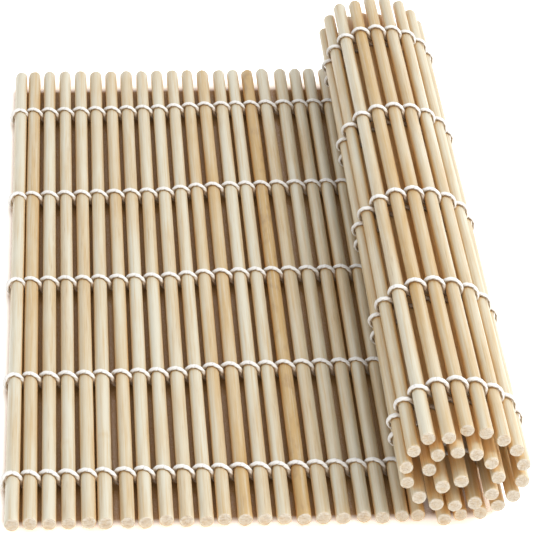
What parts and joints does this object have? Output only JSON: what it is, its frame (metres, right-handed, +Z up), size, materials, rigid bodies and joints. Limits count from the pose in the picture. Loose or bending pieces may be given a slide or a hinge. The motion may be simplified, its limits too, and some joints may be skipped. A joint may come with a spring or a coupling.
{
  "type": "sushi rolling mat",
  "caption": "Rolling mat of thin round wooden sticks held side by side by rows of twisted twine, half laid flat and half rolled up.",
  "frame": {"origin": "under the middle of the whole mat, on the table it lies on", "axes": "+Z up, +Y back along the sticks, +X across the sticks from the flat edge towards the roll"},
  "size_m": [0.1282, 0.2454, 0.0316],
  "materials": {
    "sticks": "satin",
    "twine": "matte"
  },
  "bodies": {
    "stick_01": {"stick_01": "sticks"},
    "stick_02": {"stick_02": "sticks"},
    "stick_03": {"stick_03": "sticks"},
    "stick_04": {"stick_04": "sticks"},
    "stick_05": {"stick_05": "sticks"},
    "stick_06": {"stick_06": "sticks"},
    "stick_07": {"stick_07": "sticks"},
    "stick_08": {"stick_08": "sticks"},
    "stick_09": {"stick_09": "sticks"},
    "stick_10": {"stick_10": "sticks"},
    "stick_11": {"stick_11": "sticks"},
    "stick_12": {"stick_12": "sticks"},
    "stick_13": {"stick_13": "sticks"},
    "stick_14": {"stick_14": "sticks"},
    "stick_15": {"stick_15": "sticks"},
    "stick_16": {"stick_16": "sticks"},
    "stick_17": {"stick_17": "sticks"},
    "stick_18": {"stick_18": "sticks"},
    "stick_19": {"stick_19": "sticks"},
    "stick_20": {"stick_20": "sticks"},
    "stick_21": {"stick_21": "sticks", "twine_row_1": "twine", "twine_row_2": "twine", "twine_row_3": "twine", "twine_row_4": "twine", "twine_row_5": "twine"},
    "stick_22": {"stick_22": "sticks"},
    "stick_23": {"stick_23": "sticks"},
    "stick_24": {"stick_24": "sticks"},
    "stick_25": {"stick_25": "sticks"},
    "stick_26": {"stick_26": "sticks"},
    "stick_27": {"stick_27": "sticks"},
    "stick_28": {"stick_28": "sticks"},
    "stick_29": {"stick_29": "sticks"},
    "stick_30": {"stick_30": "sticks"},
    "stick_31": {"stick_31": "sticks"},
    "stick_32": {"stick_32": "sticks"},
    "stick_33": {"stick_33": "sticks"},
    "stick_34": {"stick_34": "sticks"},
    "stick_35": {"stick_35": "sticks"},
    "stick_36": {"stick_36": "sticks"},
    "stick_37": {"stick_37": "sticks"},
    "stick_38": {"stick_38": "sticks"},
    "stick_39": {"stick_39": "sticks"},
    "stick_40": {"stick_40": "sticks"},
    "stick_41": {"stick_41": "sticks"},
    "stick_42": {"stick_42": "sticks"},
    "stick_43": {"stick_43": "sticks"},
    "stick_44": {"stick_44": "sticks"},
    "stick_45": {"stick_45": "sticks"},
    "stick_46": {"stick_46": "sticks"},
    "stick_47": {"stick_47": "sticks"},
    "stick_48": {"stick_48": "sticks"},
    "stick_49": {"stick_49": "sticks"},
    "stick_50": {"stick_50": "sticks"},
    "stick_51": {"stick_51": "sticks"}
  },
  "joints": [
    {"name": "bend_21_22", "type": "hinge", "parent": "stick_21", "child": "stick_22", "pos_m": [0.03511, 0.0027, 0.0029], "axis": [0, -1, 0], "range_deg": [-1, 0]},
    {"name": "bend_22_23", "type": "hinge", "parent": "stick_22", "child": "stick_23", "pos_m": [0.03981, 0.0027, 0.00299], "axis": [0, -1, 0], "range_deg": [-1, 0]},
    {"name": "bend_23_24", "type": "hinge", "parent": "stick_23", "child": "stick_24", "pos_m": [0.04451, 0.0027, 0.00315], "axis": [0, -1, 0], "range_deg": [-1, 0]},
    {"name": "bend_24_25", "type": "hinge", "parent": "stick_24", "child": "stick_25", "pos_m": [0.0492, 0.0027, 0.0035], "axis": [0, -1, 0], "range_deg": [-11, 0]},
    {"name": "unroll", "type": "hinge", "parent": "stick_25", "child": "stick_26", "pos_m": [0.05374, 0.0027, 0.00473], "axis": [0, -1, 0], "range_deg": [-20, 0], "deforming": ["twine_row_1", "twine_row_2", "twine_row_3", "twine_row_4", "twine_row_5"]},
    {"name": "bend_26_27", "type": "hinge", "parent": "stick_26", "child": "stick_27", "pos_m": [0.05763, 0.0027, 0.00736], "axis": [0, -1, 0], "range_deg": [-21, 0]},
    {"name": "bend_27_28", "type": "hinge", "parent": "stick_27", "child": "stick_28", "pos_m": [0.06032, 0.0027, 0.01121], "axis": [0, -1, 0], "range_deg": [-21, 0]},
    {"name": "bend_28_29", "type": "hinge", "parent": "stick_28", "child": "stick_29", "pos_m": [0.06141, 0.0027, 0.01579], "axis": [0, -1, 0], "range_deg": [-26, 0]},
    {"name": "bend_29_30", "type": "hinge", "parent": "stick_29", "child": "stick_30", "pos_m": [0.06044, 0.0027, 0.02038], "axis": [0, -1, 0], "range_deg": [-25, 0]},
    {"name": "bend_30_31", "type": "hinge", "parent": "stick_30", "child": "stick_31", "pos_m": [0.05766, 0.0027, 0.02418], "axis": [0, -1, 0], "range_deg": [-19, 0]},
    {"name": "bend_31_32", "type": "hinge", "parent": "stick_31", "child": "stick_32", "pos_m": [0.05378, 0.0027, 0.02683], "axis": [0, -1, 0], "range_deg": [-16, 0]},
    {"name": "bend_32_33", "type": "hinge", "parent": "stick_32", "child": "stick_33", "pos_m": [0.04932, 0.0027, 0.0283], "axis": [0, -1, 0], "range_deg": [-14, 0]},
    {"name": "bend_33_34", "type": "hinge", "parent": "stick_33", "child": "stick_34", "pos_m": [0.04463, 0.0027, 0.02865], "axis": [0, -1, 0], "range_deg": [-12, 0]},
    {"name": "bend_34_35", "type": "hinge", "parent": "stick_34", "child": "stick_35", "pos_m": [0.04, 0.0027, 0.02788], "axis": [0, -1, 0], "range_deg": [-23, 0]},
    {"name": "bend_35_36", "type": "hinge", "parent": "stick_35", "child": "stick_36", "pos_m": [0.03598, 0.0027, 0.02544], "axis": [0, -1, 0], "range_deg": [-26, 0]},
    {"name": "bend_36_37", "type": "hinge", "parent": "stick_36", "child": "stick_37", "pos_m": [0.03341, 0.0027, 0.02151], "axis": [0, -1, 0], "range_deg": [-24, 0]},
    {"name": "bend_37_38", "type": "hinge", "parent": "stick_37", "child": "stick_38", "pos_m": [0.03274, 0.0027, 0.01685], "axis": [0, -1, 0], "range_deg": [-31, 0]},
    {"name": "bend_38_39", "type": "hinge", "parent": "stick_38", "child": "stick_39", "pos_m": [0.03449, 0.0027, 0.01249], "axis": [0, -1, 0], "range_deg": [-30, 0]},
    {"name": "bend_39_40", "type": "hinge", "parent": "stick_39", "child": "stick_40", "pos_m": [0.03815, 0.0027, 0.00953], "axis": [0, -1, 0], "range_deg": [-22, 0]},
    {"name": "bend_40_41", "type": "hinge", "parent": "stick_40", "child": "stick_41", "pos_m": [0.04265, 0.0027, 0.00818], "axis": [0, -1, 0], "range_deg": [-16, 0]},
    {"name": "bend_41_42", "type": "hinge", "parent": "stick_41", "child": "stick_42", "pos_m": [0.04735, 0.0027, 0.00823], "axis": [0, -1, 0], "range_deg": [-21, 0]},
    {"name": "bend_42_43", "type": "hinge", "parent": "stick_42", "child": "stick_43", "pos_m": [0.0517, 0.0027, 0.01001], "axis": [0, -1, 0], "range_deg": [-31, 0]},
    {"name": "bend_43_44", "type": "hinge", "parent": "stick_43", "child": "stick_44", "pos_m": [0.05451, 0.0027, 0.01378], "axis": [0, -1, 0], "range_deg": [-41, 0]},
    {"name": "bend_44_45", "type": "hinge", "parent": "stick_44", "child": "stick_45", "pos_m": [0.05429, 0.0027, 0.01847], "axis": [0, -1, 0], "range_deg": [-38, 0]},
    {"name": "bend_45_46", "type": "hinge", "parent": "stick_45", "child": "stick_46", "pos_m": [0.0513, 0.0027, 0.0221], "axis": [0, -1, 0], "range_deg": [-26, 0]},
    {"name": "bend_46_47", "type": "hinge", "parent": "stick_46", "child": "stick_47", "pos_m": [0.04699, 0.0027, 0.02396], "axis": [0, -1, 0], "range_deg": [-24, 0]},
    {"name": "bend_47_48", "type": "hinge", "parent": "stick_47", "child": "stick_48", "pos_m": [0.04229, 0.0027, 0.02374], "axis": [0, -1, 0], "range_deg": [-37, 0]},
    {"name": "bend_48_49", "type": "hinge", "parent": "stick_48", "child": "stick_49", "pos_m": [0.03872, 0.0027, 0.02067], "axis": [0, -1, 0], "range_deg": [-58, 0]},
    {"name": "bend_49_50", "type": "hinge", "parent": "stick_49", "child": "stick_50", "pos_m": [0.03935, 0.0027, 0.01601], "axis": [0, -1, 0], "range_deg": [-70, 0]},
    {"name": "bend_50_51", "type": "hinge", "parent": "stick_50", "child": "stick_51", "pos_m": [0.04391, 0.0027, 0.01487], "axis": [0, -1, 0], "range_deg": [-70, 0]},
    {"name": "roll_up", "type": "hinge", "parent": "stick_21", "child": "stick_20", "pos_m": [0.03041, 0.0027, 0.00312], "axis": [0, 1, 0], "range_deg": [0, 22], "deforming": ["twine_row_1", "twine_row_2", "twine_row_3", "twine_row_4", "twine_row_5"]},
    {"name": "bend_19_20", "type": "hinge", "parent": "stick_20", "child": "stick_19", "pos_m": [0.02571, 0.0027, 0.00312], "axis": [0, 1, 0], "range_deg": [0, 22]},
    {"name": "bend_18_19", "type": "hinge", "parent": "stick_19", "child": "stick_18", "pos_m": [0.02101, 0.0027, 0.00302], "axis": [0, 1, 0], "range_deg": [0, 12]},
    {"name": "bend_17_18", "type": "hinge", "parent": "stick_18", "child": "stick_17", "pos_m": [0.01631, 0.0027, 0.00302], "axis": [0, 1, 0], "range_deg": [0, 12]},
    {"name": "bend_16_17", "type": "hinge", "parent": "stick_17", "child": "stick_16", "pos_m": [0.01161, 0.0027, 0.00302], "axis": [0, 1, 0], "range_deg": [0, 12]},
    {"name": "bend_15_16", "type": "hinge", "parent": "stick_16", "child": "stick_15", "pos_m": [0.00691, 0.0027, 0.00302], "axis": [0, 1, 0], "range_deg": [0, 12]},
    {"name": "bend_14_15", "type": "hinge", "parent": "stick_15", "child": "stick_14", "pos_m": [0.00221, 0.0027, 0.00302], "axis": [0, 1, 0], "range_deg": [0, 12]},
    {"name": "bend_13_14", "type": "hinge", "parent": "stick_14", "child": "stick_13", "pos_m": [-0.00249, 0.0027, 0.00302], "axis": [0, 1, 0], "range_deg": [0, 12]},
    {"name": "bend_12_13", "type": "hinge", "parent": "stick_13", "child": "stick_12", "pos_m": [-0.00719, 0.0027, 0.00302], "axis": [0, 1, 0], "range_deg": [0, 12]},
    {"name": "bend_11_12", "type": "hinge", "parent": "stick_12", "child": "stick_11", "pos_m": [-0.01189, 0.0027, 0.00302], "axis": [0, 1, 0], "range_deg": [0, 12]},
    {"name": "bend_10_11", "type": "hinge", "parent": "stick_11", "child": "stick_10", "pos_m": [-0.01659, 0.0027, 0.00302], "axis": [0, 1, 0], "range_deg": [0, 12]},
    {"name": "bend_09_10", "type": "hinge", "parent": "stick_10", "child": "stick_09", "pos_m": [-0.02129, 0.0027, 0.00302], "axis": [0, 1, 0], "range_deg": [0, 12]},
    {"name": "bend_08_09", "type": "hinge", "parent": "stick_09", "child": "stick_08", "pos_m": [-0.02599, 0.0027, 0.00302], "axis": [0, 1, 0], "range_deg": [0, 12]},
    {"name": "bend_07_08", "type": "hinge", "parent": "stick_08", "child": "stick_07", "pos_m": [-0.03069, 0.0027, 0.00302], "axis": [0, 1, 0], "range_deg": [0, 12]},
    {"name": "bend_06_07", "type": "hinge", "parent": "stick_07", "child": "stick_06", "pos_m": [-0.03539, 0.0027, 0.00302], "axis": [0, 1, 0], "range_deg": [0, 12]},
    {"name": "bend_05_06", "type": "hinge", "parent": "stick_06", "child": "stick_05", "pos_m": [-0.04009, 0.0027, 0.00302], "axis": [0, 1, 0], "range_deg": [0, 12]},
    {"name": "bend_04_05", "type": "hinge", "parent": "stick_05", "child": "stick_04", "pos_m": [-0.04479, 0.0027, 0.00302], "axis": [0, 1, 0], "range_deg": [0, 12]},
    {"name": "bend_03_04", "type": "hinge", "parent": "stick_04", "child": "stick_03", "pos_m": [-0.04949, 0.0027, 0.00302], "axis": [0, 1, 0], "range_deg": [0, 12]},
    {"name": "bend_02_03", "type": "hinge", "parent": "stick_03", "child": "stick_02", "pos_m": [-0.05419, 0.0027, 0.00302], "axis": [0, 1, 0], "range_deg": [0, 12]},
    {"name": "bend_01_02", "type": "hinge", "parent": "stick_02", "child": "stick_01", "pos_m": [-0.05889, 0.0027, 0.00302], "axis": [0, 1, 0], "range_deg": [0, 12]}
  ],
  "couplings": [
    {"joint": "bend_21_22", "follows": "unroll", "ratio": 0.05},
    {"joint": "bend_22_23", "follows": "unroll", "ratio": 0.05},
    {"joint": "bend_23_24", "follows": "unroll", "ratio": 0.05},
    {"joint": "bend_24_25", "follows": "unroll", "ratio": 0.55},
    {"joint": "bend_26_27", "follows": "unroll", "ratio": 1.05},
    {"joint": "bend_27_28", "follows": "unroll", "ratio": 1.05},
    {"joint": "bend_28_29", "follows": "unroll", "ratio": 1.3},
    {"joint": "bend_29_30", "follows": "unroll", "ratio": 1.25},
    {"joint": "bend_30_31", "follows": "unroll", "ratio": 0.95},
    {"joint": "bend_31_32", "follows": "unroll", "ratio": 0.8},
    {"joint": "bend_32_33", "follows": "unroll", "ratio": 0.7},
    {"joint": "bend_33_34", "follows": "unroll", "ratio": 0.6},
    {"joint": "bend_34_35", "follows": "unroll", "ratio": 1.15},
    {"joint": "bend_35_36", "follows": "unroll", "ratio": 1.3},
    {"joint": "bend_36_37", "follows": "unroll", "ratio": 1.2},
    {"joint": "bend_37_38", "follows": "unroll", "ratio": 1.55},
    {"joint": "bend_38_39", "follows": "unroll", "ratio": 1.5},
    {"joint": "bend_39_40", "follows": "unroll", "ratio": 1.1},
    {"joint": "bend_40_41", "follows": "unroll", "ratio": 0.8},
    {"joint": "bend_41_42", "follows": "unroll", "ratio": 1.05},
    {"joint": "bend_42_43", "follows": "unroll", "ratio": 1.55},
    {"joint": "bend_43_44", "follows": "unroll", "ratio": 2.05},
    {"joint": "bend_44_45", "follows": "unroll", "ratio": 1.9},
    {"joint": "bend_45_46", "follows": "unroll", "ratio": 1.3},
    {"joint": "bend_46_47", "follows": "unroll", "ratio": 1.2},
    {"joint": "bend_47_48", "follows": "unroll", "ratio": 1.85},
    {"joint": "bend_48_49", "follows": "unroll", "ratio": 2.9},
    {"joint": "bend_49_50", "follows": "unroll", "ratio": 3.5},
    {"joint": "bend_50_51", "follows": "unroll", "ratio": 3.5},
    {"joint": "bend_19_20", "follows": "roll_up", "ratio": 1},
    {"joint": "bend_18_19", "follows": "roll_up", "ratio": 0.54546},
    {"joint": "bend_17_18", "follows": "roll_up", "ratio": 0.54546},
    {"joint": "bend_16_17", "follows": "roll_up", "ratio": 0.54546},
    {"joint": "bend_15_16", "follows": "roll_up", "ratio": 0.54546},
    {"joint": "bend_14_15", "follows": "roll_up", "ratio": 0.54546},
    {"joint": "bend_13_14", "follows": "roll_up", "ratio": 0.54546},
    {"joint": "bend_12_13", "follows": "roll_up", "ratio": 0.54546},
    {"joint": "bend_11_12", "follows": "roll_up", "ratio": 0.54546},
    {"joint": "bend_10_11", "follows": "roll_up", "ratio": 0.54546},
    {"joint": "bend_09_10", "follows": "roll_up", "ratio": 0.54546},
    {"joint": "bend_08_09", "follows": "roll_up", "ratio": 0.54546},
    {"joint": "bend_07_08", "follows": "roll_up", "ratio": 0.54546},
    {"joint": "bend_06_07", "follows": "roll_up", "ratio": 0.54546},
    {"joint": "bend_05_06", "follows": "roll_up", "ratio": 0.54546},
    {"joint": "bend_04_05", "follows": "roll_up", "ratio": 0.54546},
    {"joint": "bend_03_04", "follows": "roll_up", "ratio": 0.54546},
    {"joint": "bend_02_03", "follows": "roll_up", "ratio": 0.54546},
    {"joint": "bend_01_02", "follows": "roll_up", "ratio": 0.54546}
  ]
}
